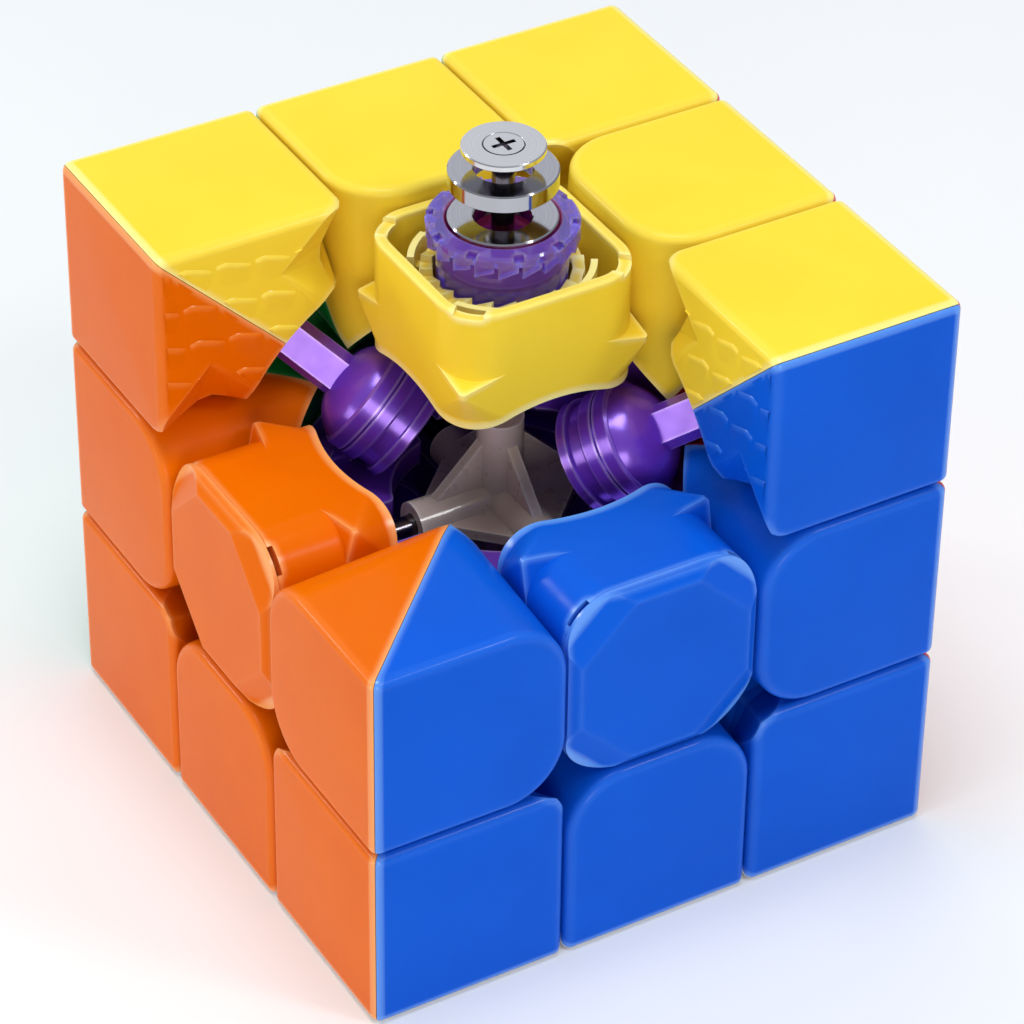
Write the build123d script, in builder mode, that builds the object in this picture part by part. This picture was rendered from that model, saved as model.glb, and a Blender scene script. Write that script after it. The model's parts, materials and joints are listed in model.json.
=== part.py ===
from build123d import *
from math import sqrt
import os

# Magnetic 3x3 puzzle cube with its upper front corner taken away, so that the mechanism shows:
# a spider core, six screwed centres, ten edges and seven corners. The upper centre is open and
# its adjusting dial, ring magnets, head disc and screw are drawn up out of their seat.
#
# Row frame: origin under the middle of the lower face, +Z up. Every piece is first made about
# the core's centre and is then seated by a plane there, whose Z looks out through one face.

# ---- driving dimensions, mm ----
SIDE = 56.0  # across the whole cube
HALF = SIDE / 2
CUT = SIDE / 6  # the planes on which the layers part
GAP = 0.15  # each cubie stays this far behind its cutting plane
CENTRE_HALF = CUT - GAP  # half width of a centre, and of an edge along its own line
CUBIE_IN = CUT + GAP  # where the edges and corners begin
WALL = 1.2  # moulded shell
SEAM = 0.06  # fine line between two coloured shells
OUTER_ROUND = 0.9  # the cube's own outer edges
FACE_ROUND = 0.8  # all other edges of a coloured face

# ---- spherical zones, measured from the core's centre ----
CORE_R = 9.1  # the core stays inside this
FOOT_IN_R = 9.4  # the feet turn outside the core
FOOT_OUT_R = 18.35  # and inside the centres and edges
SHELL_IN_R = 18.65  # inner surface of centres and edges
CORNER_IN_R = 24.4  # inner surface of the corners
FAR = 90.0  # longer than anything that is cut with it

# ---- core ----
TUBE_R = 2.1
TUBE_LONG = sqrt(CORE_R**2 - TUBE_R**2) - 0.05
TUBE_BORE_R = 1.1
TUBE_BORE_END = 2.0  # where the bore stops, short of the middle
WEB = 1.0  # plates between the tubes
WEB_REACH = 8.7  # along each tube

# ---- centre housing ----
RIM_Z = 26.5
HOUSING_WALL = 1.1
HOUSING_ROUND = 4.5
EAR_ROUND = 0.5  # the ears under the rounded corners are nearly sharp
EAR_LOW_ROUND = 8.2  # and the body below them is rounded off more and more
EAR_TOP_Z = 20.4
EAR_TIP_TOP_Z = 19.4
EAR_TIP_LOW_Z = 18.9
HOUSING_LOW_Z = 13.0
FLOOR_R = SHELL_IN_R + WALL  # the floor is a dome of this radius
BOSS_R = 2.3
BOSS_Z = 21.7
SCREW_HOLE_R = 1.2
BOSS_ROOT = 0.6  # how far the boss reaches into the floor
RIM_ROUND = 0.25
NOTCH_WIDE = 2.6  # pry notch at each corner of the rim
NOTCH_DEEP = 0.55
NOTCH_REACH = 8.0
RIB = 1.0  # ribs that tie the crown to the housing's corners
RIB_MIDDLE_R = 8.6
RIB_LONG = 3.6
RIB_TOP_Z = 23.2
CLIP_R = 7.8  # curved clips that stand on the ribs
CLIP_THICK = 0.6
CLIP_TOP_Z = 25.1
CLIP_ARC = 30

# ---- ratchet: a crown in the housing and the dial's teeth above it ----
TEETH = 20
CROWN_IN_R = 5.95
CROWN_OUT_R = 7.05
CROWN_FOOT_Z = 18.3
CROWN_Z = 24.0
TOOTH_WIDE = 1.7
TOOTH_HIGH = 0.7
TOOTH_ROOT = 0.2  # how far a tooth reaches into the crown
TOOTH_LIFT = 0.3  # the seated dial's teeth ride this far above the crown's
TOOTH_SHIFT = 0.15

# ---- dial, at its seated height ----
DIAL_R = 6.6
DIAL_TOP_Z = 26.4
DIAL_FLANGE_Z = 25.5
BARREL_R = 5.7
CUP_R = 4.95
BARREL_LOW_Z = 20.9
CUP_FLOOR_Z = 22.4
CUP_FLOOR = 0.45
DIAL_HOLE_R = 1.4
GRIP_NOTCHES = 10
GRIP_WIDE = 0.9
GRIP_DEEP = 0.7

# ---- cap ----
CAP_FLAT = 8.25  # half width of the flat octagon
CAP_CORNER_FLAT = 11.3 / sqrt(2)  # and its half width across the corners
CAP_BEVEL_Z = 27.35
CAP_FACET_Z = 26.75
LIP_HALF = 7.85
LIP_WALL = 0.8
LIP_INNER_ROUND = 2.4
LIP_LOW_Z = 25.6

# ---- magnets, head disc and screw ----
MAGNET_R = 4.75
MAGNET_HOLE_R = 2.5
MAGNET_THICK = 1.6
LOWER_MAGNET_Z = 22.5  # undersides, with the stack seated
UPPER_MAGNET_Z = 24.25
DISC_Z = 25.95
DISC_R = 3.625
DISC_THICK = 0.6
SHAFT_R = 1.0
SCREW_HEAD_R = 1.7
SCREW_FIT = 0.05
SCREW_LONG = 20.0
RECESS_R = 1.1
RECESS_WIDE = 0.45
RECESS_DEEP = 0.35
SIDE_HEAD_THICK = 0.45
SLEEVE_TOP_Z = 24.0
SLEEVE_FIT = 0.08  # round the shaft, and over the boss below
COLLAR_R = 2.2
COLLAR_THICK = 0.45

# ---- how far each piece of the upper stack is drawn up from its seat ----
DIAL_LIFT = 2.9
LOWER_MAGNET_LIFT = DIAL_LIFT + 2.5
UPPER_MAGNET_LIFT = LOWER_MAGNET_LIFT + 2.95
DISC_LIFT = UPPER_MAGNET_LIFT + 1.6

# ---- edge cubies ----
EDGE_FACE_ROUND = 6.0  # the two corners of each face that look at the centre
EDGE_DEEP_ROUND = 3.5  # the same corners at the inner end of the wall
BLADE_HALF = 1.1  # foot: thin blade between the corners' feet
PAD_HALF = 2.4  # foot: wide pad under the two centres
PAD_IN_R = 15.0
FOOT_SIDE = 2.7  # the foot stays this far from both of its layers' middles
FOOT_ROUND = 0.6
EDGE_STALK_IN = 9.6
EDGE_STALK_OUT = 13.6

# ---- corner cubies ----
CORNER_ROUND = 2.2  # the corner of each face that looks at the centre
RELIEF_TIP = (16.2, 23.1)  # where the shallow relief on a side begins, along and up
RELIEF_START = 0.02
RELIEF_LONG = 9.0
RELIEF_SECTION = (  # depth and height of the relief's flutes, for one unit along from its tip
    (0, 0.99),
    (0.24, 0.5),
    (0.4, 0.1),
    (0.42, -0.2),
    (0.3, -0.5),
    (0.16, -0.72),
    (0.05, -0.95),
    (0, -1.25),
)
BELL_R = 5.3
BELL_RIM_T = 9.9  # along the diagonal from the core's centre
STALK_FLAT = 1.6  # from the stalk's axis to its wide flats
STALK_SIDE = 2.7  # width of a wide flat
STALK_IN_T = 17.0
STALK_OUT_T = 28.0

CORE_CENTRE = Vector(0, 0, HALF)
FACES = {
    "yellow": Vector(0, 0, 1),
    "white": Vector(0, 0, -1),
    "red": Vector(1, 0, 0),
    "orange": Vector(-1, 0, 0),
    "green": Vector(0, 1, 0),
    "blue": Vector(0, -1, 0),
}
OPEN_CORNER = {"yellow", "orange", "blue"}  # the cubies left out here show the mechanism
QUARTERS = (0, 90, 180, 270)


# ---- helpers ----
def facing(name):
    """The seat of a centre: Z looks out through the named face."""
    outward = FACES[name]
    across = Vector(1, 0, 0) if abs(outward.X) < 0.5 else Vector(0, 1, 0)
    return Plane(origin=CORE_CENTRE, x_dir=across, z_dir=outward)


def between(first, second):
    """The seat of an edge: Z and Y look out through its two faces."""
    return Plane(origin=CORE_CENTRE, x_dir=FACES[second].cross(FACES[first]), z_dir=FACES[first])


def among(first, second, third):
    """The seat of a corner: X, Y and Z look out through its three faces."""
    turn = FACES[first].cross(FACES[second])
    across = second if turn.dot(FACES[third]) > 0 else third
    return Plane(origin=CORE_CENTRE, x_dir=FACES[across], z_dir=FACES[first])


def upright(angle):
    """A plane through Z at an azimuth: its X points outward and its Y points up."""
    outward = Vector(1, 0, 0).rotate(Axis.Z, angle)
    return Plane(origin=(0, 0, 0), x_dir=outward, z_dir=outward.cross(Vector(0, 0, 1)))


def save(piece, name):
    piece.part.label = name
    export_step(piece.part, f"parts/{name}.step")


def seated(proto, plane, name):
    """Places a finished piece by its seat and writes it as its own node."""
    with BuildPart(plane) as piece:
        add(proto.part)
    save(piece, name)


# ---- core ----
def make_core():
    with BuildPart() as core:
        for plane in (Plane.XY, Plane.YZ, Plane.XZ):
            with BuildSketch(plane.offset(-TUBE_LONG)):
                Circle(TUBE_R)
            extrude(amount=2 * TUBE_LONG)
            with BuildSketch(plane.offset(-WEB / 2)):
                with BuildLine():
                    Polyline(
                        (WEB_REACH, 0), (0, WEB_REACH), (-WEB_REACH, 0), (0, -WEB_REACH), close=True
                    )
                make_face()
            extrude(amount=WEB)
        for outward in FACES.values():
            with BuildSketch(Plane(origin=outward * TUBE_BORE_END, z_dir=outward)):
                Circle(TUBE_BORE_R)
            extrude(amount=TUBE_LONG, mode=Mode.SUBTRACT)
    return core


# ---- centre ----
def ear_cutter():
    """Rounds one corner of the body below its ear, more and more towards the bottom."""
    side = CENTRE_HALF
    with BuildPart() as cutter:
        for height, radius in ((EAR_TIP_TOP_Z - 0.1, 0.1), (HOUSING_LOW_Z, EAR_LOW_ROUND)):
            with BuildSketch(Plane.XY.offset(height)):
                with BuildLine():
                    RadiusArc((side, side - radius), (side - radius, side), -radius)
                    Polyline(
                        (side - radius, side),
                        (side - radius, side + 1),
                        (side + 1, side + 1),
                        (side + 1, side - radius),
                        (side, side - radius),
                    )
                make_face()
        loft(ruled=True)
    return cutter


def ear_body():
    """Lower body of a housing: square, with an ear at each corner, and rounded off below."""
    tip = CENTRE_HALF * sqrt(2)
    arc_start = (2 * CENTRE_HALF - HOUSING_ROUND) / sqrt(2)
    with BuildPart() as body:
        with BuildSketch(Plane.XY.offset(HOUSING_LOW_Z)):
            RectangleRounded(2 * CENTRE_HALF, 2 * CENTRE_HALF, EAR_ROUND)
        extrude(amount=EAR_TOP_Z - HOUSING_LOW_Z)
        for quarter in QUARTERS:
            with BuildSketch(upright(quarter + 45).offset(-CUT)):
                with BuildLine():
                    Polyline(
                        (arc_start, EAR_TOP_Z),
                        (tip, EAR_TIP_TOP_Z),
                        (tip + 2, EAR_TIP_TOP_Z),
                        (tip + 2, EAR_TOP_Z + 1),
                        (arc_start, EAR_TOP_Z + 1),
                        close=True,
                    )
                make_face()
            extrude(amount=2 * CUT, mode=Mode.SUBTRACT)
            add(ear_cutter().part.rotate(Axis.Z, quarter), mode=Mode.SUBTRACT)
    return body


def housing_hollow():
    """The room inside a housing, above its domed floor."""
    inner = CENTRE_HALF - HOUSING_WALL
    with BuildPart() as hollow:
        with BuildSketch(Plane.XY.offset(HOUSING_LOW_Z)):
            RectangleRounded(2 * inner, 2 * inner, HOUSING_ROUND - HOUSING_WALL)
        extrude(amount=HALF - HOUSING_LOW_Z)
        Sphere(FLOOR_R, mode=Mode.SUBTRACT)
    return hollow


def crown_planes(radius, height):
    """One plane per ratchet tooth: X runs round the crown, Y points up and Z points out."""
    planes = []
    for index in range(TEETH):
        outward = Vector(1, 0, 0).rotate(Axis.Z, 360 / TEETH * (index + 0.5))
        around = Vector(0, 0, 1).cross(outward)
        spot = outward * radius + Vector(0, 0, height)
        planes.append(Plane(origin=spot, x_dir=around, z_dir=outward))
    return planes


def make_housing():
    with BuildPart() as housing:
        with BuildSketch(Plane.XY.offset(HOUSING_LOW_Z)):
            RectangleRounded(2 * CENTRE_HALF, 2 * CENTRE_HALF, HOUSING_ROUND)
        extrude(amount=RIM_Z - HOUSING_LOW_Z)
        add(ear_body().part)
        Sphere(SHELL_IN_R, mode=Mode.SUBTRACT)
        add(housing_hollow().part, mode=Mode.SUBTRACT)
        fillet(housing.edges().group_by(Axis.Z)[-1], RIM_ROUND)
        for quarter in QUARTERS:
            with BuildSketch(upright(quarter + 45).offset(-NOTCH_WIDE / 2)):
                with Locations((CENTRE_HALF * sqrt(2), RIM_Z)):
                    Rectangle(NOTCH_REACH, 2 * NOTCH_DEEP)
            extrude(amount=NOTCH_WIDE, mode=Mode.SUBTRACT)
        with BuildSketch(Plane.XY.offset(CROWN_FOOT_Z)):
            Circle(CROWN_OUT_R)
            Circle(CROWN_IN_R, mode=Mode.SUBTRACT)
        extrude(amount=CROWN_Z - CROWN_FOOT_Z)
        with BuildSketch(*crown_planes(CROWN_IN_R, CROWN_Z)):
            with BuildLine():
                Polyline(
                    (-TOOTH_WIDE / 2, 0),
                    (-TOOTH_WIDE / 2, -TOOTH_ROOT),
                    (TOOTH_WIDE / 2, -TOOTH_ROOT),
                    (TOOTH_WIDE / 2, TOOTH_HIGH),
                    close=True,
                )
            make_face()
        extrude(amount=CROWN_OUT_R - CROWN_IN_R - 0.05)
        for quarter in QUARTERS:
            with BuildSketch(upright(quarter + 45).offset(-RIB / 2)):
                with Locations((RIB_MIDDLE_R, (CROWN_FOOT_Z + RIB_TOP_Z) / 2)):
                    Rectangle(RIB_LONG, RIB_TOP_Z - CROWN_FOOT_Z)
            extrude(amount=RIB)
            with BuildSketch(upright(quarter + 45 - CLIP_ARC / 2)):
                with Locations((CLIP_R, (CROWN_FOOT_Z + CLIP_TOP_Z) / 2)):
                    Rectangle(CLIP_THICK, CLIP_TOP_Z - CROWN_FOOT_Z)
            revolve(axis=Axis.Z, revolution_arc=CLIP_ARC)
        with BuildSketch(Plane.XY.offset(FLOOR_R - BOSS_ROOT)):
            Circle(BOSS_R)
        extrude(amount=BOSS_Z - FLOOR_R + BOSS_ROOT)
        with BuildSketch():
            Circle(SCREW_HOLE_R)
        extrude(amount=HALF, mode=Mode.SUBTRACT)
    return housing


def make_cap():
    corner = (CENTRE_HALF - HOUSING_ROUND) * sqrt(2) + HOUSING_ROUND
    with BuildPart() as cap:
        with BuildSketch(Plane.XY.offset(RIM_Z)):
            RectangleRounded(2 * CENTRE_HALF, 2 * CENTRE_HALF, HOUSING_ROUND)
        extrude(amount=HALF - RIM_Z)
        for quarter in QUARTERS:
            for turn, flat, end, low in (
                (0, CAP_FLAT, CENTRE_HALF, CAP_BEVEL_Z),
                (45, CAP_CORNER_FLAT, corner, CAP_FACET_Z),
            ):
                slope = (HALF - low) / (end - flat)
                with BuildSketch(upright(quarter + turn).offset(-2 * CUT)):
                    with BuildLine():
                        Polyline(
                            (flat, HALF),
                            (end + 1, low - slope),
                            (end + 1, HALF + 1),
                            (flat, HALF + 1),
                            close=True,
                        )
                    make_face()
                extrude(amount=4 * CUT, mode=Mode.SUBTRACT)
        with BuildSketch(Plane.XY.offset(LIP_LOW_Z)):
            RectangleRounded(2 * LIP_HALF, 2 * LIP_HALF, HOUSING_ROUND - HOUSING_WALL)
            lip_inside = 2 * (LIP_HALF - LIP_WALL)
            RectangleRounded(lip_inside, lip_inside, LIP_INNER_ROUND, mode=Mode.SUBTRACT)
        extrude(amount=RIM_Z - LIP_LOW_Z)
    return cap


def make_dial():
    floor_low = CUP_FLOOR_Z - CUP_FLOOR
    with BuildPart() as dial:
        with BuildSketch(upright(0)):
            with BuildLine():
                Polyline(
                    (DIAL_HOLE_R, floor_low),
                    (CUP_R, floor_low),
                    (CUP_R, BARREL_LOW_Z),
                    (BARREL_R, BARREL_LOW_Z),
                    (BARREL_R, DIAL_FLANGE_Z),
                    (DIAL_R, DIAL_FLANGE_Z),
                    (DIAL_R, DIAL_TOP_Z - 0.2),
                    (DIAL_R - 0.2, DIAL_TOP_Z),
                    (CUP_R + 0.1, DIAL_TOP_Z),
                    (CUP_R, DIAL_TOP_Z - 0.1),
                    (CUP_R, CUP_FLOOR_Z),
                    (DIAL_HOLE_R, CUP_FLOOR_Z),
                    close=True,
                )
            make_face()
        revolve(axis=Axis.Z)
        with BuildSketch(*crown_planes(BARREL_R - 0.05, CROWN_Z)):
            with BuildLine():
                Polyline(
                    (TOOTH_SHIFT - TOOTH_WIDE / 2, TOOTH_LIFT),
                    (TOOTH_SHIFT + TOOTH_WIDE / 2, TOOTH_LIFT + TOOTH_HIGH),
                    (TOOTH_SHIFT + TOOTH_WIDE / 2, DIAL_FLANGE_Z - CROWN_Z + 0.1),
                    (TOOTH_SHIFT - TOOTH_WIDE / 2, DIAL_FLANGE_Z - CROWN_Z + 0.1),
                    close=True,
                )
            make_face()
        extrude(amount=DIAL_R - BARREL_R)
        for index in range(GRIP_NOTCHES):
            with BuildSketch(upright(360 / GRIP_NOTCHES * index).offset(-GRIP_WIDE / 2)):
                with Locations((DIAL_R, DIAL_TOP_Z)):
                    Rectangle(2 * GRIP_DEEP, GRIP_WIDE)
            extrude(amount=GRIP_WIDE, mode=Mode.SUBTRACT)
    return dial


def ring(low, inner, outer, thick, chamfered=0.12):
    """A flat ring about Z with slightly broken edges."""
    with BuildPart() as piece:
        with BuildSketch(Plane.XY.offset(low)):
            Circle(outer)
            Circle(inner, mode=Mode.SUBTRACT)
        extrude(amount=thick)
        chamfer(piece.edges().filter_by(GeomType.CIRCLE), chamfered)
    return piece


def cross_recess(height):
    """The cross that a driver turns, to be cut into a head at this height."""
    with BuildPart() as recess:
        with BuildSketch(Plane.XY.offset(height - RECESS_DEEP)):
            Rectangle(2 * RECESS_R, RECESS_WIDE)
            Rectangle(RECESS_WIDE, 2 * RECESS_R)
        extrude(amount=2 * RECESS_DEEP)
    return recess


def make_side_screw():
    """Screw of a closed centre: the wide thin head holds down the magnets."""
    head_top = DISC_Z + SIDE_HEAD_THICK
    with BuildPart() as screw:
        with BuildSketch(Plane.XY.offset(DISC_Z)):
            Circle(DISC_R)
        extrude(amount=SIDE_HEAD_THICK)
        with BuildSketch(Plane.XY.offset(head_top - SCREW_LONG)):
            Circle(SHAFT_R)
        extrude(amount=SCREW_LONG - SIDE_HEAD_THICK)
        add(cross_recess(head_top).part, mode=Mode.SUBTRACT)
    return screw


def make_side_magnets():
    with BuildPart() as pair:
        add(ring(LOWER_MAGNET_Z, MAGNET_HOLE_R, MAGNET_R, MAGNET_THICK).part)
        add(ring(UPPER_MAGNET_Z, MAGNET_HOLE_R, MAGNET_R, MAGNET_THICK).part)
    return pair


def make_sleeve():
    """Bush between the screw and the dial; its collar lies on the floor of the dial's cup."""
    with BuildPart() as sleeve:
        with BuildSketch(Plane.XY.offset(BOSS_Z + 2 * SLEEVE_FIT)):
            Circle(DIAL_HOLE_R - SCREW_FIT)
        extrude(amount=SLEEVE_TOP_Z - BOSS_Z - 2 * SLEEVE_FIT)
        with BuildSketch(Plane.XY.offset(CUP_FLOOR_Z + SCREW_FIT)):
            Circle(COLLAR_R)
        extrude(amount=COLLAR_THICK)
        with BuildSketch():
            Circle(SHAFT_R + SLEEVE_FIT)
        extrude(amount=HALF, mode=Mode.SUBTRACT)
    return sleeve


def make_top_disc():
    """The screw's wide head disc; the screw's own small head sits in its middle."""
    hole = SCREW_HEAD_R + SCREW_FIT
    return ring(DISC_Z, hole, DISC_R, DISC_THICK, 0.1)


def make_top_screw():
    head_top = DISC_Z + DISC_THICK
    with BuildPart() as screw:
        with BuildSketch(Plane.XY.offset(DISC_Z)):
            Circle(SCREW_HEAD_R)
        extrude(amount=DISC_THICK)
        with BuildSketch(Plane.XY.offset(head_top - SCREW_LONG)):
            Circle(SHAFT_R)
        extrude(amount=SCREW_LONG - DISC_THICK / 2)
        add(cross_recess(head_top).part, mode=Mode.SUBTRACT)
    return screw


# ---- edge ----
def edge_corner_cutter(plane, inset):
    """Rounds one corner of an edge's face, along the whole depth of the wall below the face."""
    side = CENTRE_HALF - inset
    low = CUBIE_IN + inset
    with BuildPart() as cutter:
        for depth, full in ((low - 1, EDGE_DEEP_ROUND), (HALF + 1, EDGE_FACE_ROUND)):
            radius = full - inset
            with BuildSketch(plane.offset(depth)):
                with BuildLine():
                    Line((side - radius, low - 1), (side - radius, low))
                    RadiusArc((side - radius, low), (side, low + radius), -radius)
                    Polyline(
                        (side, low + radius),
                        (side + 1, low + radius),
                        (side + 1, low - 1),
                        (side - radius, low - 1),
                    )
                make_face()
        loft(ruled=True)
    return cutter


def edge_form(inset):
    """Outer form of an edge cubie, or its hollow when it is inset by the wall."""
    low = CUBIE_IN + inset
    high = HALF - inset
    swapped = Plane(origin=(0, 0, 0), x_dir=(-1, 0, 0), z_dir=(0, 1, 0))
    with BuildPart() as form:
        with BuildSketch(Plane.XY.offset(low)):
            with Locations((0, (low + high) / 2)):
                Rectangle(2 * (CENTRE_HALF - inset), high - low)
        extrude(amount=high - low)
        for plane in (Plane.XY, swapped):
            cutter = edge_corner_cutter(plane, inset).part
            add(cutter, mode=Mode.SUBTRACT)
            add(cutter.mirror(Plane.YZ), mode=Mode.SUBTRACT)
    return form


def make_edge_shells():
    """Two coloured shells of an edge, parted along the plane between its two faces."""
    with BuildPart() as room:
        add(edge_form(WALL).part)
        Sphere(SHELL_IN_R + WALL, mode=Mode.SUBTRACT)
    with BuildPart() as shells:
        add(edge_form(0).part)
        upper = shells.edges().filter_by_position(Axis.Z, HALF - 0.01, HALF + 0.01)
        fillet(upper.filter_by_position(Axis.Y, HALF - 0.01, HALF + 0.01), OUTER_ROUND)
        rims = []
        for axis, other in ((Axis.Z, Axis.Y), (Axis.Y, Axis.Z)):
            face = shells.faces().sort_by(axis)[-1]
            rims += face.edges().sort_by(other)[:-1]
        fillet(rims, FACE_ROUND)
        Sphere(SHELL_IN_R, mode=Mode.SUBTRACT)
        add(room.part, mode=Mode.SUBTRACT)
        parting = Plane(origin=(0, 0, 0), x_dir=(1, 0, 0), z_dir=(0, 1, -1))
        with BuildSketch(parting.offset(-SEAM / 2)):
            Rectangle(FAR, FAR)
        extrude(amount=SEAM, mode=Mode.SUBTRACT)
        add(edge_stalk(0.05).part, mode=Mode.SUBTRACT)
    return shells


def edge_stalk(margin):
    """The stalk that joins an edge's foot to its shells, or the hole for it with a margin."""
    low = EDGE_STALK_IN - margin
    high = EDGE_STALK_OUT + margin
    with BuildPart() as stalk:
        with BuildSketch(Plane.XY.offset(low)):
            with Locations(((0, (low + high) / 2))):
                RectangleRounded(2 * (PAD_HALF + margin), high - low, 0.8)
        extrude(amount=high - low)
    return stalk


def quarter_band(inner, outer, half):
    """Band about X in the quarter where Y and Z are positive, kept clear of both axes."""
    inner_far = sqrt(inner**2 - FOOT_SIDE**2)
    outer_far = sqrt(outer**2 - FOOT_SIDE**2)
    with BuildPart() as band:
        with BuildSketch(Plane.YZ.offset(-half)):
            with BuildLine():
                Line((FOOT_SIDE, inner_far), (FOOT_SIDE, outer_far))
                RadiusArc((FOOT_SIDE, outer_far), (outer_far, FOOT_SIDE), outer)
                Line((outer_far, FOOT_SIDE), (inner_far, FOOT_SIDE))
                RadiusArc((inner_far, FOOT_SIDE), (FOOT_SIDE, inner_far), -inner)
            make_face()
        extrude(amount=2 * half)
        fillet(band.edges().filter_by(Axis.X), FOOT_ROUND)
    return band


def make_edge_foot():
    """Blade near the core and wide pad under the centres, on the stalk of the edge."""
    with BuildPart() as foot:
        add(quarter_band(FOOT_IN_R + 0.1, PAD_IN_R + 1, BLADE_HALF).part)
        add(quarter_band(PAD_IN_R, FOOT_OUT_R - 0.2, PAD_HALF).part)
        add(edge_stalk(0).part)
    return foot


# ---- corner ----
def relief_cutter(inset, flip):
    """Fluted wedge cut into the side across X; it widens and deepens along from its tip."""
    near, far = RELIEF_TIP
    if flip > 0:
        seat = Plane(origin=(CUBIE_IN + inset, near, far), x_dir=(1, 0, 0), z_dir=(0, -1, 0))
    else:
        seat = Plane(origin=(CUBIE_IN + inset, far, near), x_dir=(1, 0, 0), z_dir=(0, 0, -1))
    outline = list(RELIEF_SECTION) + [(-0.5, RELIEF_SECTION[-1][1]), (-0.5, RELIEF_SECTION[0][1])]
    with BuildPart() as cutter:
        for along in (RELIEF_START, RELIEF_LONG):
            points = [(depth * along, high * along * flip) for depth, high in outline]
            with BuildSketch(seat.offset(along)):
                Polygon(*points, align=None)
        loft(ruled=True)
    return cutter


def corner_form(inset, rounded):
    """Outer form of a corner cubie, or its plainer hollow when it is inset by the wall."""
    low = CUBIE_IN + inset
    high = HALF - inset
    with BuildPart() as form:
        with BuildSketch(Plane.XY.offset(low)):
            with Locations(((low + high) / 2, (low + high) / 2)):
                Rectangle(high - low, high - low)
        extrude(amount=high - low)
        if rounded:
            edges = form.edges()
            inner = [edge for edge in edges if sorted(edge.center())[1] < low + 1]
            fillet(inner, CORNER_ROUND)
            edges = form.edges()
            outer = [edge for edge in edges if sorted(edge.center())[1] > high - 1]
            fillet(outer, OUTER_ROUND)
            rims = []
            for axis in (Axis.X, Axis.Y, Axis.Z):
                for edge in form.faces().sort_by(axis)[-1].edges():
                    if sorted(edge.center())[1] < high - OUTER_ROUND - 0.1:
                        rims.append(edge)
            fillet(rims, FACE_ROUND)
        Sphere(CORNER_IN_R + inset, mode=Mode.SUBTRACT)
        for flip in (1, -1):
            cutter = relief_cutter(inset, flip).part
            for turn in (0, 120, 240):
                side = cutter.rotate(Axis((0, 0, 0), (1, 1, 1)), turn)
                add(side, mode=Mode.SUBTRACT)
    return form


def corner_stalk(margin):
    """Six-sided stalk along the corner's diagonal, with three wide and three narrow flats."""
    seat = Plane(origin=(0, 0, 0), x_dir=(-2, 1, 1), z_dir=(1, 1, 1))
    half_side = STALK_SIDE / 2
    points = []
    for turn in (0, 120, 240):
        across = Vector(STALK_FLAT + margin, 0).rotate(Axis.Z, turn)
        along = Vector(0, half_side).rotate(Axis.Z, turn)
        points += [across - along, across + along]
    with BuildPart() as stalk:
        with BuildSketch(seat.offset(STALK_IN_T)):
            Polygon(*[(point.X, point.Y) for point in points], align=None)
        extrude(amount=STALK_OUT_T - STALK_IN_T + margin)
    return stalk


def make_corner_shells():
    """Three coloured shells of a corner, parted along the planes between its faces."""
    diagonal = FAR / sqrt(2)
    with BuildPart() as shells:
        add(corner_form(0, True).part)
        add(corner_form(WALL, False).part, mode=Mode.SUBTRACT)
        for along, across in (((1, 0, 1), (0, 1, 0)), ((1, 1, 0), (0, 0, 1)), ((0, 1, 1), (1, 0, 0))):
            normal = Vector(*along).cross(Vector(*across))
            parting = Plane(origin=(0, 0, 0), x_dir=along, z_dir=normal)
            with BuildSketch(parting.offset(-SEAM / 2)):
                Polygon((0, 0), (FAR, diagonal), (FAR, -FAR / 4), (0, -FAR / 4), align=None)
            extrude(amount=SEAM, mode=Mode.SUBTRACT)
        add(corner_stalk(0.06).part, mode=Mode.SUBTRACT)
    return shells


def make_corner_foot():
    """Bell that turns about the core, on the stalk that carries the corner."""
    seat = Plane(origin=(0, 0, 0), x_dir=(1, 1, 1), z_dir=(1, -1, 0))
    band_end, groove = 15.4, 13.7
    with BuildPart() as foot:
        with BuildSketch(seat):
            with BuildLine():
                Polyline(
                    (18.0, 0),
                    (12.6, 0),
                    (12.6, 4.2),
                    (BELL_RIM_T, 4.5),
                    (BELL_RIM_T, 5.05),
                    (BELL_RIM_T + 0.15, 5.2),
                    (BELL_RIM_T + 1.0, 5.2),
                    (BELL_RIM_T + 1.1, 4.8),
                    (12.3, 4.8),
                    (12.3, BELL_R - 0.2),
                    (12.5, BELL_R),
                    (groove, BELL_R),
                    (groove, BELL_R - 0.25),
                    (groove + 0.25, BELL_R - 0.25),
                    (groove + 0.25, BELL_R),
                    (band_end - 0.2, BELL_R),
                    (band_end, BELL_R - 0.2),
                    (band_end, BELL_R - 0.35),
                )
                RadiusArc((band_end, BELL_R - 0.35), (18.0, STALK_FLAT), 4.6)
                Line((18.0, STALK_FLAT), (18.0, 0))
            make_face()
        revolve(axis=Axis((0, 0, 0), (1, 1, 1)))
        add(corner_stalk(0).part)
    return foot


def lifted(proto, lift, name):
    """A piece of the upper stack, drawn up from its seat in the open centre."""
    seat = facing("yellow")
    seated(proto, seat.offset(lift), name)


# ---- write every node ----
def write_core():
    closed = [name for name in FACES if name != "yellow"]
    seated(make_core(), Plane(origin=CORE_CENTRE), "core_spider")
    screw = make_side_screw().part
    with BuildPart(*[facing(name) for name in closed]) as screws:
        add(screw)
    save(screws, "side_screws")
    pair = make_side_magnets().part
    with BuildPart(*[facing(name) for name in closed]) as magnets:
        add(pair)
    save(magnets, "side_ring_magnets")


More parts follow.
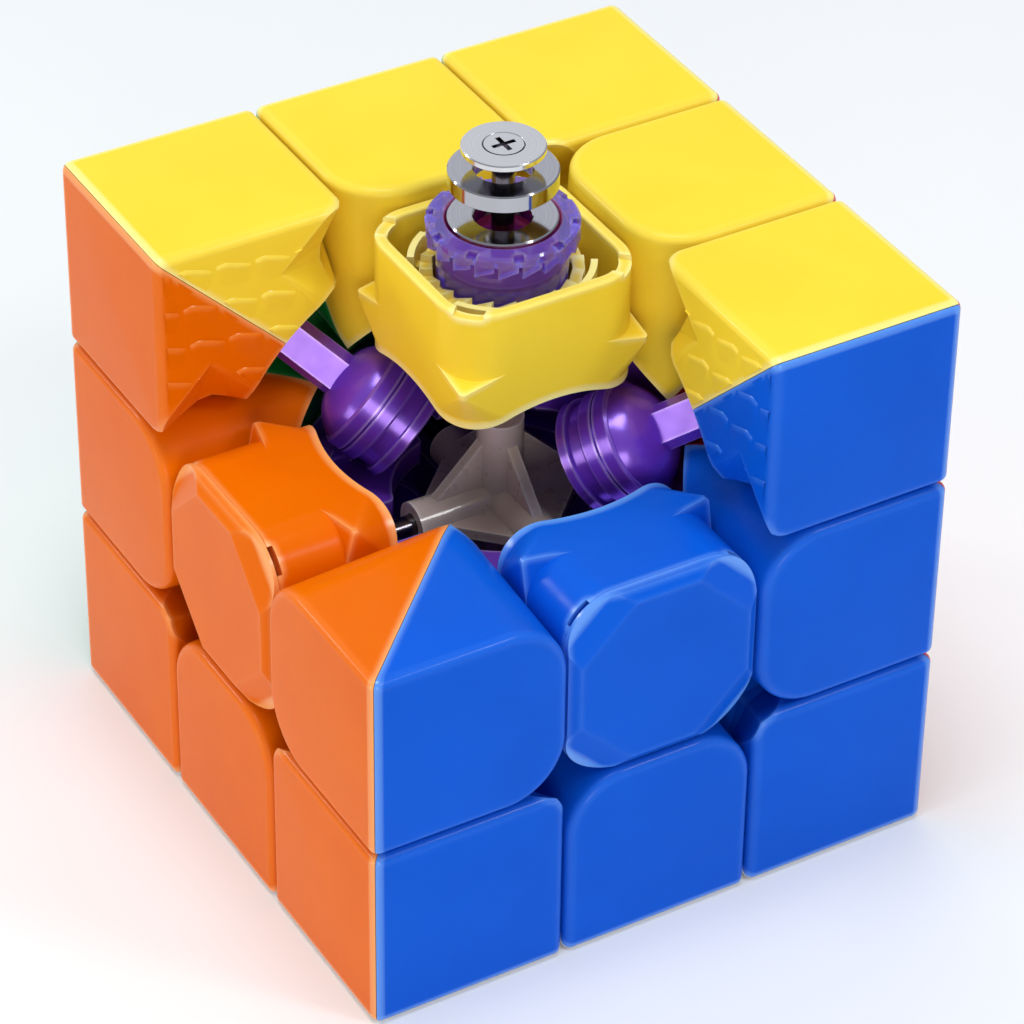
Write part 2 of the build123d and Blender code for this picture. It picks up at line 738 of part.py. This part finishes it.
def write_centres():
    housing = make_housing()
    dial = make_dial()
    cap = make_cap()
    for name in FACES:
        seated(housing, facing(name), f"{name}_center_housing")
        if name != "yellow":
            seated(dial, facing(name), f"{name}_center_dial")
            seated(cap, facing(name), f"{name}_center_cap")
    lifted(dial, DIAL_LIFT, "top_adjusting_dial")
    lifted(make_sleeve(), DIAL_LIFT, "top_sleeve")
    lower = ring(LOWER_MAGNET_Z, MAGNET_HOLE_R, MAGNET_R, MAGNET_THICK)
    upper = ring(UPPER_MAGNET_Z, MAGNET_HOLE_R, MAGNET_R, MAGNET_THICK)
    lifted(lower, LOWER_MAGNET_LIFT, "top_lower_ring_magnet")
    lifted(upper, UPPER_MAGNET_LIFT, "top_upper_ring_magnet")
    lifted(make_top_disc(), DISC_LIFT, "top_head_disc")
    lifted(make_top_screw(), DISC_LIFT, "top_screw")


def write_edges():
    shells = make_edge_shells()
    foot = make_edge_foot()
    pairs = [(first, second) for first in ("yellow", "white") for second in ("red", "orange")]
    pairs += [(first, second) for first in ("yellow", "white") for second in ("green", "blue")]
    pairs += [(first, second) for first in ("red", "orange") for second in ("green", "blue")]
    for first, second in pairs:
        if "yellow" in (first, second) and {first, second} <= OPEN_CORNER:
            continue
        seat = between(first, second)
        seated(shells, seat, f"{first}_{second}_edge_shells")
        seated(foot, seat, f"{first}_{second}_edge_foot")


def write_corners():
    shells = make_corner_shells()
    foot = make_corner_foot()
    for first in ("yellow", "white"):
        for second in ("red", "orange"):
            for third in ("green", "blue"):
                if {first, second, third} == OPEN_CORNER:
                    continue
                seat = among(first, second, third)
                seated(shells, seat, f"{first}_{second}_{third}_corner_shells")
                seated(foot, seat, f"{first}_{second}_{third}_corner_foot")


os.makedirs("parts", exist_ok=True)
write_core()
write_centres()
write_edges()
write_corners()
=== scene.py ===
import json
from math import cos, radians, sin

import bmesh
import bpy
from mathutils import Matrix, Vector
from mathutils.bvhtree import BVHTree

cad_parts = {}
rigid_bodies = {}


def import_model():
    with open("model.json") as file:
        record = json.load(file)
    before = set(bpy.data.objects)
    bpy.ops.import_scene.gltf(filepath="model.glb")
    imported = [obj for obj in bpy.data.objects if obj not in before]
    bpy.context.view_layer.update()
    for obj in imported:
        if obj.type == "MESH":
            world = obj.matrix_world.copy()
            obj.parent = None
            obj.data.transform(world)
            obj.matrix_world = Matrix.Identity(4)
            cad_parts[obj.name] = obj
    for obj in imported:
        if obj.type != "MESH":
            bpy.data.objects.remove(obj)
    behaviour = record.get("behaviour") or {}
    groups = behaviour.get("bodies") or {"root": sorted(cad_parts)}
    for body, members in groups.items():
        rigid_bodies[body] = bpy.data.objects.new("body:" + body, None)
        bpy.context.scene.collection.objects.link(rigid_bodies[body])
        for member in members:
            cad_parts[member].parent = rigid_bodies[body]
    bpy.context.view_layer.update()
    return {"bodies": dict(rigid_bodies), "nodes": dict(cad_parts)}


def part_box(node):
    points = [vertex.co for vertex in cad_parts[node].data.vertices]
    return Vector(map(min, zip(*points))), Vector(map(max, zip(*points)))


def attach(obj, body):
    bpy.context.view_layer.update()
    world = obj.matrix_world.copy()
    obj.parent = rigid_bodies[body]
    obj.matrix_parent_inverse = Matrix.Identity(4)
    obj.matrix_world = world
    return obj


# The magnetic puzzle cube, opened at its upper front corner. The CAD nodes keep their places and
# get their looks here; the scale relief on the corners' inner sides is added as thin mouldings.

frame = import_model()

# ---- sizes, in metres ----
MM = 0.001
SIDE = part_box("white_red_green_corner_shells")[1].x * 2
CORE = Vector((0, 0, SIDE / 2))  # the cube's centre
CUT = SIDE / 6  # distance of the cuts between layers from the centre
GAP = 0.15 * MM  # each cubie stays this far behind its cut
FACES = {
    "yellow": Vector((0, 0, 1)),
    "white": Vector((0, 0, -1)),
    "red": Vector((1, 0, 0)),
    "orange": Vector((-1, 0, 0)),
    "green": Vector((0, 1, 0)),
    "blue": Vector((0, -1, 0)),
}

CUP_SHARE = 0.76  # of the dial's radius
CUP_FOOT = 1.0 * MM  # the cup's tint begins this far above the dial's foot
HEAD_SKIN = 0.05 * MM  # depth of the plated top of the screw's head
WELD = 0.0005 * MM  # points closer than this are joined before shading
SHARP_ANGLE = 18.0  # degrees; edges sharper than this stay crisp
CORNER_SHARP_ANGLE = 28.0  # so that the relief's flutes run into one another
KEY_DIGITS = 7  # points of a solid that agree to this many decimals are one point

# ---- finish ----
NOISE_RANGE = (0.3, 0.7)  # where nearly all noise values lie
# painted highlight along convex edges, found by inside occlusion; those edges also get real extra gloss
EDGE_OPEN = 0.96  # inside occlusion on a flat wall
EDGE_FULL = 0.45  # and along a crisp convex edge
EDGE_PALE = 0.62  # how far an edge goes towards its painted highlight colour
EDGE_GLOSS = 0.5  # and how much more it shines
SATIN = (0.19, 0.27)  # roughness of moulded plastic
GRAIN_HIGH = 0.01 * MM
# painted white highlight on the edges of clear plastic: its reach, strength and colour
CLEAR_HIGHLIGHT_REACH = 0.35 * MM
CLEAR_HIGHLIGHT = 0.4
CLEAR_HIGHLIGHT_COLOUR = (255, 255, 255)
TURNING = 9000  # turning marks per metre of radius, about

# ---- camera, angles in degrees ----
VIEW_AZIMUTH = -30.56
VIEW_ELEVATION = 36.82
VIEW_ROLL = 0.81
VIEW_DISTANCE = 396.6 * MM
VIEW_RIGHT = 1.12 * MM
VIEW_DOWN = 1.42 * MM
LENS = 158.3
SENSOR = 36.0
CLIP_START = 10 * MM

# ---- light, in metres and watts ----
WARM = (1.0, 0.9, 0.78)
COOL = (0.94, 1.0, 1.0)
NEUTRAL = (1.0, 1.0, 1.0)
LIGHTS = (  # name, place, side, power, colour
    ("overhead", (-0.05, -0.05, 0.65), 0.30, 2.3, COOL),
    ("edge_front", (0.25, -0.38, 0.46), 0.10, 0.6, NEUTRAL),
    ("edge_left", (-0.38, 0.42, 0.28), 0.10, 0.5, NEUTRAL),
    ("front_fill", (-0.22, -0.52, 0.17), 0.20, 0.7, WARM),
    ("left_fill", (-0.60, -0.01, 0.10), 0.20, 0.55, WARM),
)
SKY = (0.92, 0.95, 1.0, 1.0)
SKY_DIM = 0.42
SKY_BRIGHT = 1.1
WINDOW = (0.0, 0.95, 0.55)  # the way to the sky's bright window
WINDOW_RIM = 0.72  # cosine of the angle from that way where the sky starts to brighten
WINDOW_CORE = 0.98  # and where it is brightest
FLOOR_HALF = 2.0
PALE = (236, 236, 238)
PALER = (242, 242, 243)

# ---- scale relief on the corners' inner sides ----
SCALE_START = Vector((29.8, 26.75)) * MM  # lattice corner: distance out and up from the core
SCALE_ACROSS = Vector((-3.7, -0.45)) * MM
SCALE_DOWN = Vector((-0.5, -3.75)) * MM
SCALE_COLUMNS = 5
SCALE_ROWS = 5
TILE_CELLS = (18, 9)  # grid of one scale, across and down
SCALE_FADE_IN = 0.12  # of a lattice step, from the scale's start
SCALE_FADE_OUT = 0.3  # and towards its end
SCALE_WIDE = 0.94  # of a lattice step
SCALE_LONG = 0.93
SCALE_WAVE = 0.34 * MM  # rise of the upper edge's hook
SCALE_HOOK = 0.28  # of a lattice step, where the hook ends
SCALE_FALL = 2.2  # how fast the edge falls after it
SCALE_HIGH = 0.16 * MM  # how proud the upper lip stands
SCALE_FLUSH = 0.02 * MM  # and how far the other end sinks below the wall
SCALE_SUNK = 0.25 * MM  # hidden depth of the lip inside the wall
SCALE_LIP = 0.75  # of a grid step, so that the lip's own edge is steep
SCALE_SLOPE = 0.08 * MM  # the hidden lip lies this far over the upper edge
SCALE_PROBE = 2.0 * MM  # the wall is felt for from this far off
SCALE_LEVEL = 0.02 * MM  # and counts as flat within this
SCALE_SEAM = 0.22 * MM  # clear of the colour seam
SCALE_MERGE = 0.0001 * MM  # points this close to the seam's cut lie on it


def linear(colour):
    """Screen colour, 0 to 255, as the linear colour that a shader takes."""
    levels = [value / 255 for value in colour]
    return [v / 12.92 if v <= 0.04045 else ((v + 0.055) / 1.055) ** 2.4 for v in levels] + [1.0]


# ---- materials ----
class Nodes:
    """A new material's node tree with short calls to add and join nodes."""

    def __init__(self, name):
        self.material = bpy.data.materials.new(name)
        self.material.use_nodes = True
        self.tree = self.material.node_tree
        self.shader = self.tree.nodes["Principled BSDF"]

    def add(self, kind, **values):
        node = self.tree.nodes.new("ShaderNode" + kind)
        for key, value in values.items():
            setattr(node, key, value)
        return node

    def join(self, source, target):
        self.tree.links.new(source, target)

    def noise(self, scale, detail=3.0):
        place = self.add("TexCoord")
        noise = self.add("TexNoise")
        noise.inputs["Scale"].default_value = scale
        noise.inputs["Detail"].default_value = detail
        self.join(place.outputs["Object"], noise.inputs["Vector"])
        return noise.outputs["Fac"]

    def spread(self, value, low, high):
        """Spreads a noise value over a range."""
        node = self.add("MapRange")
        node.inputs["From Min"].default_value = NOISE_RANGE[0]
        node.inputs["From Max"].default_value = NOISE_RANGE[1]
        node.inputs["To Min"].default_value = low
        node.inputs["To Max"].default_value = high
        self.join(value, node.inputs["Value"])
        return node.outputs["Result"]

    def mixed(self, amount, first, second):
        """First colour to second by an amount; a colour may be a list or a socket."""
        node = self.add("Mix", data_type="RGBA")
        self.join(amount, node.inputs["Factor"])
        for socket, value in ((node.inputs["A"], first), (node.inputs["B"], second)):
            if isinstance(value, list):
                socket.default_value = value
            else:
                self.join(value, socket)
        return node.outputs["Result"]

    def edges(self, reach, strength):
        """Rises from 0 on flat walls to the strength along convex edges, over the reach."""
        inside = self.add("AmbientOcclusion", samples=6, inside=True, only_local=True)
        inside.inputs["Distance"].default_value = reach
        band = self.add("MapRange")
        band.inputs["From Min"].default_value = EDGE_OPEN
        band.inputs["From Max"].default_value = EDGE_FULL
        band.inputs["To Max"].default_value = strength
        self.join(inside.outputs["AO"], band.inputs["Value"])
        return band.outputs["Result"]

    def scaled(self, value, gain, offset=0.0):
        """The value times the gain, plus the offset."""
        node = self.add("Math", operation="MULTIPLY_ADD")
        node.inputs[1].default_value = gain
        node.inputs[2].default_value = offset
        self.join(value, node.inputs[0])
        return node.outputs["Value"]

    def bump(self, height, strength, distance):
        node = self.add("Bump")
        node.inputs["Strength"].default_value = strength
        node.inputs["Distance"].default_value = distance
        self.join(height, node.inputs["Height"])
        self.join(node.outputs["Normal"], self.shader.inputs["Normal"])

    def set(self, **values):
        for key, value in values.items():
            self.shader.inputs[key.replace("_", " ")].default_value = value


def plastic(name, colour, shade, edge_highlight, reach=0.7 * MM, gloss=0.07, pearl=0.0):
    """Satin moulded plastic: faint mottling, moulding grain, and edges painted paler as a painted
    highlight, and glossier.

    The painted highlight band along the edges is as wide as the reach; pearl is a metallic sheen."""
    nodes = Nodes(name)
    mottle = nodes.spread(nodes.noise(90), 0.0, 1.0)
    body = nodes.mixed(mottle, linear(colour), linear(shade))
    edge = nodes.edges(reach, 1.0)
    # painted highlight: the base colour goes paler along convex edges
    skin = nodes.mixed(nodes.scaled(edge, EDGE_PALE), body, linear(edge_highlight))
    nodes.join(skin, nodes.shader.inputs["Base Color"])
    level = nodes.scaled(edge, EDGE_GLOSS, gloss)
    nodes.join(level, nodes.shader.inputs["Specular IOR Level"])
    nodes.join(nodes.spread(nodes.noise(700), *SATIN), nodes.shader.inputs["Roughness"])
    nodes.bump(nodes.noise(4200, 2.0), 0.05, GRAIN_HIGH)
    nodes.set(IOR=1.5, Metallic=pearl)
    return nodes.material


def see_through(name, colour, shade, amount, rough, ior, shine):
    """Clear moulded plastic: faintly uneven tint, with a painted white highlight along its edges, under a
    glossy skin.
    """
    nodes = Nodes(name)
    mottle = nodes.spread(nodes.noise(260), 0.0, 1.0)
    body = nodes.mixed(mottle, linear(colour), linear(shade))
    edge = nodes.edges(CLEAR_HIGHLIGHT_REACH, CLEAR_HIGHLIGHT)
    # painted highlight: the tint goes towards white along convex edges
    nodes.join(nodes.mixed(edge, body, linear(CLEAR_HIGHLIGHT_COLOUR)), nodes.shader.inputs["Base Color"])
    nodes.join(nodes.spread(nodes.noise(900), *rough), nodes.shader.inputs["Roughness"])
    nodes.bump(nodes.noise(3000, 2.0), 0.04, GRAIN_HIGH)
    nodes.set(Transmission_Weight=amount, IOR=ior, Coat_Weight=shine, Coat_Roughness=0.06)
    return nodes.material


def turned_metal(name, colour, shade, rough, turned):
    """Plated metal with fine concentric turning marks about the cube's upright axis."""
    nodes = Nodes(name)
    place = nodes.add("TexCoord")
    flat = nodes.add("VectorMath", operation="MULTIPLY")
    flat.inputs[1].default_value = (1, 1, 0)
    nodes.join(place.outputs["Object"], flat.inputs[0])
    radius = nodes.add("VectorMath", operation="LENGTH")
    nodes.join(flat.outputs["Vector"], radius.inputs[0])
    rings = nodes.add("TexNoise", noise_dimensions="1D")
    rings.inputs["Scale"].default_value = TURNING
    rings.inputs["Detail"].default_value = 3
    nodes.join(radius.outputs["Value"], rings.inputs["W"])
    plating = nodes.mixed(rings.outputs["Fac"], linear(colour), linear(shade))
    nodes.join(plating, nodes.shader.inputs["Base Color"])
    nodes.join(nodes.spread(nodes.noise(500), *rough), nodes.shader.inputs["Roughness"])
    nodes.bump(rings.outputs["Fac"], 0.12, GRAIN_HIGH)
    tangent = nodes.add("Tangent", direction_type="RADIAL", axis="Z")
    nodes.join(tangent.outputs["Tangent"], nodes.shader.inputs["Tangent"])
    nodes.set(Metallic=1.0, Anisotropic=turned)
    return nodes.material


def make_materials():
    """Every look, by the short name that the painting functions ask for."""
    shades = {  # the colour, its mottling, and its painted edge highlight colour
        # third colour of each row: painted highlight that the edges are painted towards
        "yellow": ((243, 212, 58), (240, 207, 52), (255, 250, 180)),
        "white": ((236, 238, 240), (228, 230, 233), (252, 252, 252)),
        "red": ((206, 24, 28), (192, 20, 25), (240, 90, 86)),
        "orange": ((228, 106, 1), (224, 100, 0), (255, 190, 120)),
        "green": ((12, 152, 62), (10, 142, 56), (90, 205, 130)),
        "blue": ((8, 90, 214), (6, 85, 206), (112, 176, 255)),
    }
    made = {}
    for name, (colour, shade, edge_highlight) in shades.items():
        made[name] = plastic(f"{name}_plastic", colour, shade, edge_highlight)
    made["inner"] = plastic(
        "inner_plastic", (118, 62, 206), (108, 54, 196), (214, 190, 255), 0.3 * MM, gloss=0.9, pearl=0.3
    )
    made["core"] = see_through(
        "core_plastic", (206, 190, 184), (190, 174, 168), amount=0.1, rough=(0.26, 0.36), ior=1.4, shine=0.6
    )
    made["dial"] = see_through(
        "dial_plastic", (152, 122, 255), (140, 108, 252), amount=0.74, rough=(0.03, 0.06), ior=1.12, shine=1
    )
    made["cup"] = see_through(
        "dial_cup_tint", (212, 52, 168), (196, 42, 158), amount=0.5, rough=(0.08, 0.14), ior=1.12, shine=0.6
    )
    made["bush"] = see_through(
        "bush_plastic", (236, 176, 206), (226, 162, 196), amount=0.3, rough=(0.2, 0.3), ior=1.4, shine=0.5
    )
    made["magnet"] = turned_metal(
        "magnet_plating", (196, 196, 202), (160, 160, 168), rough=(0.06, 0.12), turned=0
    )
    made["disc"] = turned_metal(
        "disc_plating", (226, 226, 228), (200, 200, 204), rough=(0.12, 0.2), turned=0.5
    )
    made["screw"] = turned_metal(
        "screw_steel", (122, 118, 124), (88, 84, 92), rough=(0.16, 0.24), turned=0
    )
    return made


def loose_solids(mesh):
    """The label of each polygon's loose solid, and each label's polygon middles."""
    root = {}

    def find(key):
        while root[key] != key:
            root[key] = root[root[key]]
            key = root[key]
        return key

    keys = [tuple(round(value, KEY_DIGITS) for value in vertex.co) for vertex in mesh.vertices]
    for key in keys:
        root.setdefault(key, key)
    for polygon in mesh.polygons:
        first = find(keys[polygon.vertices[0]])
        for index in polygon.vertices[1:]:
            root[find(keys[index])] = first
    labels = [find(keys[polygon.vertices[0]]) for polygon in mesh.polygons]
    middles = {}
    for polygon, label in zip(mesh.polygons, labels):
        middles.setdefault(label, []).append(polygon.center)
    return labels, middles


def paint_shells(node, materials):
    """Each loose shell of an edge or corner gets the colour of the face it looks out through."""
    mesh = node.data
    colours = [word for word in node.name.split("_") if word in FACES]
    mesh.materials.clear()
    for colour in colours:
        mesh.materials.append(materials[colour])
    labels, middles = loose_solids(mesh)
    chosen = {}
    for label, centres in middles.items():
        middle = sum(centres, Vector()) / len(centres) - CORE
        reach = [middle.dot(FACES[colour]) for colour in colours]
        chosen[label] = reach.index(max(reach))
    mesh.polygons.foreach_set("material_index", [chosen[label] for label in labels])
    mesh.update()


def paint_by_spot(node, looks, choose):
    """Gives each polygon one of the looks; the chooser sees its middle."""
    mesh = node.data
    mesh.materials.clear()
    for look in looks:
        mesh.materials.append(look)
    chosen = [choose(polygon.center) for polygon in mesh.polygons]
    mesh.polygons.foreach_set("material_index", chosen)
    mesh.update()


def paint_dial(node, materials):
    """The dial's cup is tinted; its rim, barrel and teeth are clear."""
    low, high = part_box("top_adjusting_dial")
    cup = (high.x - low.x) / 2 * CUP_SHARE

    def in_cup(middle):
        outward = Vector((middle.x, middle.y, 0))
        return int(outward.length < cup and middle.z > low.z + CUP_FOOT)

    paint_by_spot(node, (materials["dial"], materials["cup"]), in_cup)


def paint_screw(node, materials):
    """The head's top carries the disc's plating; the recess and the shaft are bare steel."""
    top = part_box("top_screw")[1].z

    def on_top(middle):
        return int(middle.z > top - HEAD_SKIN)

    paint_by_spot(node, (materials["screw"], materials["disc"]), on_top)


def softener(limit):
    """Modifier tree that joins doubled points and shades smooth except across sharper edges."""
    tree = bpy.data.node_groups.new(f"soften_{limit:.0f}", "GeometryNodeTree")
    tree.interface.new_socket("Geometry", in_out="INPUT", socket_type="NodeSocketGeometry")
    tree.interface.new_socket("Geometry", in_out="OUTPUT", socket_type="NodeSocketGeometry")
    start = tree.nodes.new("NodeGroupInput")
    end = tree.nodes.new("NodeGroupOutput")
    merge = tree.nodes.new("GeometryNodeMergeByDistance")
    merge.inputs["Distance"].default_value = WELD
    angle = tree.nodes.new("GeometryNodeInputMeshEdgeAngle")
    sharp = tree.nodes.new("FunctionNodeCompare")
    sharp.operation = "LESS_THAN"
    sharp.inputs["B"].default_value = radians(limit)
    faces = tree.nodes.new("GeometryNodeSetShadeSmooth")
    edges = tree.nodes.new("GeometryNodeSetShadeSmooth")
    edges.domain = "EDGE"
    links = tree.links
    links.new(start.outputs[0], merge.inputs["Geometry"])
    links.new(merge.outputs["Geometry"], faces.inputs["Geometry"])
    links.new(faces.outputs["Geometry"], edges.inputs["Geometry"])
    links.new(angle.outputs["Unsigned Angle"], sharp.inputs["A"])
    links.new(sharp.outputs["Result"], edges.inputs["Shade Smooth"])
    links.new(edges.outputs["Geometry"], end.inputs[0])
    return tree


def soften(node, tree):
    """Drops imported normals, so that curved walls shade smooth and true edges stay crisp."""
    if "custom_normal" in node.data.attributes:
        node.data.attributes.remove(node.data.attributes["custom_normal"])
    modifier = node.modifiers.new("soften", "NODES")
    modifier.node_group = tree


def paint_nodes(materials):
    """A CAD node's look follows from its name: its own, its kind, or the colour it begins with."""
    plain = {
        "core_spider": "core",
        "side_screws": "screw",
        "side_ring_magnets": "magnet",
        "top_sleeve": "bush",
        "top_lower_ring_magnet": "magnet",
        "top_upper_ring_magnet": "magnet",
        "top_head_disc": "disc",
        "top_screw": "screw",
    }
    usual, corner = softener(SHARP_ANGLE), softener(CORNER_SHARP_ANGLE)
    for name, node in frame["nodes"].items():
        soften(node, corner if name.endswith("_corner_shells") else usual)
        if name.endswith("_shells"):
            paint_shells(node, materials)
            continue
        if name in plain:
            look = plain[name]
        elif name.endswith("_foot"):
            look = "inner"
        elif name.endswith("_dial"):
            look = "dial"
        else:
            look = name.split("_")[0]
        node.data.materials.clear()
        node.data.materials.append(materials[look])
    paint_dial(frame["nodes"]["top_adjusting_dial"], materials)
    paint_screw(frame["nodes"]["top_screw"], materials)


# ---- scale relief ----
def lip_wave(along):
    """Height of a scale's upper edge over the lattice line: a quick hook up, then a long fall."""
    if along < SCALE_HOOK:
        return SCALE_WAVE * (1 - (1 - along / SCALE_HOOK) ** 2)
    return SCALE_WAVE * (1 - SCALE_FALL * (along - SCALE_HOOK))


def scale_tile(start):
    """One scale in the side's own plane: its upper edge is a lip that stands proud, and it sinks
    into the wall towards its lower edge and its ends. X is outward and Y is up."""
    across, down = TILE_CELLS
    tile = bmesh.new()
    rows = []
    for j in range(down + 1):
        v = max(0.0, (j - SCALE_LIP) / (down - SCALE_LIP)) if j else 0.0
        row = []
        for i in range(across + 1):
            u = SCALE_WIDE * i / across
            rise = min(1.0, (u / SCALE_FADE_IN) ** 0.5)
            fade = rise * min(1.0, (SCALE_WIDE - u) / SCALE_FADE_OUT)
            proud = SCALE_HIGH * (1 - v) ** 2 * fade - SCALE_FLUSH
            wave = lip_wave(u) * (1 - v)
            if j == 0:
                proud = -SCALE_SUNK
                wave += SCALE_SLOPE
            spot = start + SCALE_ACROSS * u + SCALE_DOWN * v * SCALE_LONG
            row.append(tile.verts.new((spot.x, spot.y + wave, proud)))
        rows.append(row)
    for upper, lower in zip(rows, rows[1:]):
        for i in range(across):
            tile.faces.new((upper[i], upper[i + 1], lower[i + 1], lower[i]))
    return tile


def drop_overhang(tile, wall, seat):
    """Removes the cells of a tile that have no flat wall of the shell behind them."""
    turn = seat.to_3x3()
    facing = turn @ Vector((0, 0, 1))
    bare = set()
    for vertex in tile.verts:
        spot = seat @ Vector((vertex.co.x, vertex.co.y, SCALE_PROBE))
        depth = wall.ray_cast(spot, -facing)[3]
        if depth is None or abs(depth - SCALE_PROBE) > SCALE_LEVEL:
            bare.add(vertex)
    cells = [face for face in tile.faces if bare.intersection(face.verts)]
    bmesh.ops.delete(tile, geom=cells, context="FACES")


def trimmed(tile, outward):
    """Cuts away what lies beyond the seam between the two colours of the side."""
    geometry = tile.verts[:] + tile.edges[:] + tile.faces[:]
    spot = Vector(outward) * -SCALE_SEAM
    bmesh.ops.bisect_plane(
        tile, geom=geometry, plane_co=spot, plane_no=outward, clear_outer=True, dist=SCALE_MERGE
    )


def side_relief(upper, wall, seat):
    """All scales of one colour on a corner's side, as one mesh, in the side's plane."""
    relief = bmesh.new()
    for column in range(-1, SCALE_COLUMNS):
        for row in range(SCALE_ROWS):
            tile = scale_tile(SCALE_START + SCALE_ACROSS * column + SCALE_DOWN * row)
            drop_overhang(tile, wall, seat)
            trimmed(tile, (1, -1, 0) if upper else (-1, 1, 0))
            if tile.faces:
                mesh = bpy.data.meshes.new("scale")
                tile.to_mesh(mesh)
                relief.from_mesh(mesh)
                bpy.data.meshes.remove(mesh)
            tile.free()
    return relief


def side_seat(inward, out, up):
    """Frame of a corner's side: X out, Y up, and Z off the wall, away from the inward face."""
    facing = -FACES[inward]
    turn = Matrix((FACES[out], FACES[up], facing)).transposed()
    return Matrix.Translation(CORE - facing * (CUT + GAP)) @ turn.to_4x4()


def make_relief(materials):
    """The relief on all three inner sides of every corner, in the colours of the shells below."""
    for corner in [name for name in frame["bodies"] if name.endswith("_corner")]:
        shells = frame["nodes"][f"{corner}_shells"].data
        points = [vertex.co for vertex in shells.vertices]
        wall = BVHTree.FromPolygons(points, [polygon.vertices for polygon in shells.polygons])
        colours = corner.split("_")[:3]
        for inward in colours:
            up, out = [colour for colour in colours if colour != inward]
            seat = side_seat(inward, out, up)
            for upper, colour in ((True, up), (False, out)):
                relief = side_relief(upper, wall, seat)
                name = f"{corner}_{inward}_side_{colour}_scales"
                place_relief(relief, name, corner, seat, colour, materials)


def place_relief(relief, name, corner, seat, colour, materials):
    """Seats one colour's scales on a corner's side, riding on the corner."""
    mesh = bpy.data.meshes.new(name)
    relief.to_mesh(mesh)
    relief.free()
    mesh.transform(seat)
    if seat.to_3x3().determinant() < 0:
        mesh.flip_normals()
    mesh.materials.append(materials[colour])
    mesh.shade_smooth()
    piece = bpy.data.objects.new(name, mesh)
    bpy.context.scene.collection.objects.link(piece)
    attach(piece, corner)


# ---- stage ----
def view_axes():
    """The camera's right, up and back before it is rolled."""
    azimuth, elevation = radians(VIEW_AZIMUTH), radians(VIEW_ELEVATION)
    back = Vector((sin(azimuth) * cos(elevation), -cos(azimuth) * cos(elevation), sin(elevation)))
    right = (-back).cross(Vector((0, 0, 1))).normalized()
    return right, back.cross(right), back


def make_camera():
    right, up, back = view_axes()
    roll = radians(VIEW_ROLL)
    rolled_right = right * cos(roll) + up * sin(roll)
    rolled_up = up * cos(roll) - right * sin(roll)
    data = bpy.data.cameras.new("view")
    data.lens = LENS
    data.sensor_width = SENSOR
    data.clip_start = CLIP_START
    camera = bpy.data.objects.new("view", data)
    turn = Matrix((rolled_right, rolled_up, back)).transposed().to_4x4()
    place = CORE + back * VIEW_DISTANCE + right * VIEW_RIGHT - up * VIEW_DOWN
    camera.matrix_world = Matrix.Translation(place) @ turn
    bpy.context.scene.collection.objects.link(camera)
    bpy.context.scene.camera = camera


def area_light(name, place, size, power, colour):
    """A square soft light that looks at the cube's centre."""
    data = bpy.data.lights.new(name, "AREA")
    data.shape = "SQUARE"
    data.size = size
    data.energy = power
    data.color = colour
    light = bpy.data.objects.new(name, data)
    spot = Vector(place)
    aim = (CORE - spot).to_track_quat("-Z", "Y")
    light.matrix_world = Matrix.Translation(spot) @ aim.to_matrix().to_4x4()
    bpy.context.scene.collection.objects.link(light)


def make_world():
    """Even studio light, brighter round one soft window that the discs and magnets mirror."""
    world = bpy.data.worlds.new("studio")
    world.use_nodes = True
    tree = world.node_tree
    sky = tree.nodes["Background"]
    sky.inputs["Color"].default_value = SKY
    place = tree.nodes.new("ShaderNodeTexCoord")
    toward = tree.nodes.new("ShaderNodeVectorMath")
    toward.operation = "DOT_PRODUCT"
    toward.inputs[1].default_value = Vector(WINDOW).normalized()
    window = tree.nodes.new("ShaderNodeMapRange")
    window.inputs["From Min"].default_value = WINDOW_RIM
    window.inputs["From Max"].default_value = WINDOW_CORE
    window.inputs["To Min"].default_value = SKY_DIM
    window.inputs["To Max"].default_value = SKY_BRIGHT
    tree.links.new(place.outputs["Generated"], toward.inputs[0])
    tree.links.new(toward.outputs["Value"], window.inputs["Value"])
    tree.links.new(window.outputs["Result"], sky.inputs["Strength"])
    bpy.context.scene.world = world


def make_floor():
    mesh = bpy.data.meshes.new("floor")
    floor_mesh = bmesh.new()
    bmesh.ops.create_grid(floor_mesh, x_segments=1, y_segments=1, size=FLOOR_HALF)
    floor_mesh.to_mesh(mesh)
    floor_mesh.free()
    floor = bpy.data.objects.new("floor", mesh)
    bpy.context.scene.collection.objects.link(floor)
    nodes = Nodes("pale_floor")
    tone = nodes.spread(nodes.noise(3), 0.0, 1.0)
    nodes.join(nodes.mixed(tone, linear(PALE), linear(PALER)), nodes.shader.inputs["Base Color"])
    nodes.set(Roughness=0.6)
    mesh.materials.append(nodes.material)


def make_stage():
    make_floor()
    make_world()
    for light in LIGHTS:
        area_light(*light)
    bpy.context.scene.view_settings.view_transform = "Standard"


make_camera()
materials = make_materials()
paint_nodes(materials)
make_relief(materials)
make_stage()
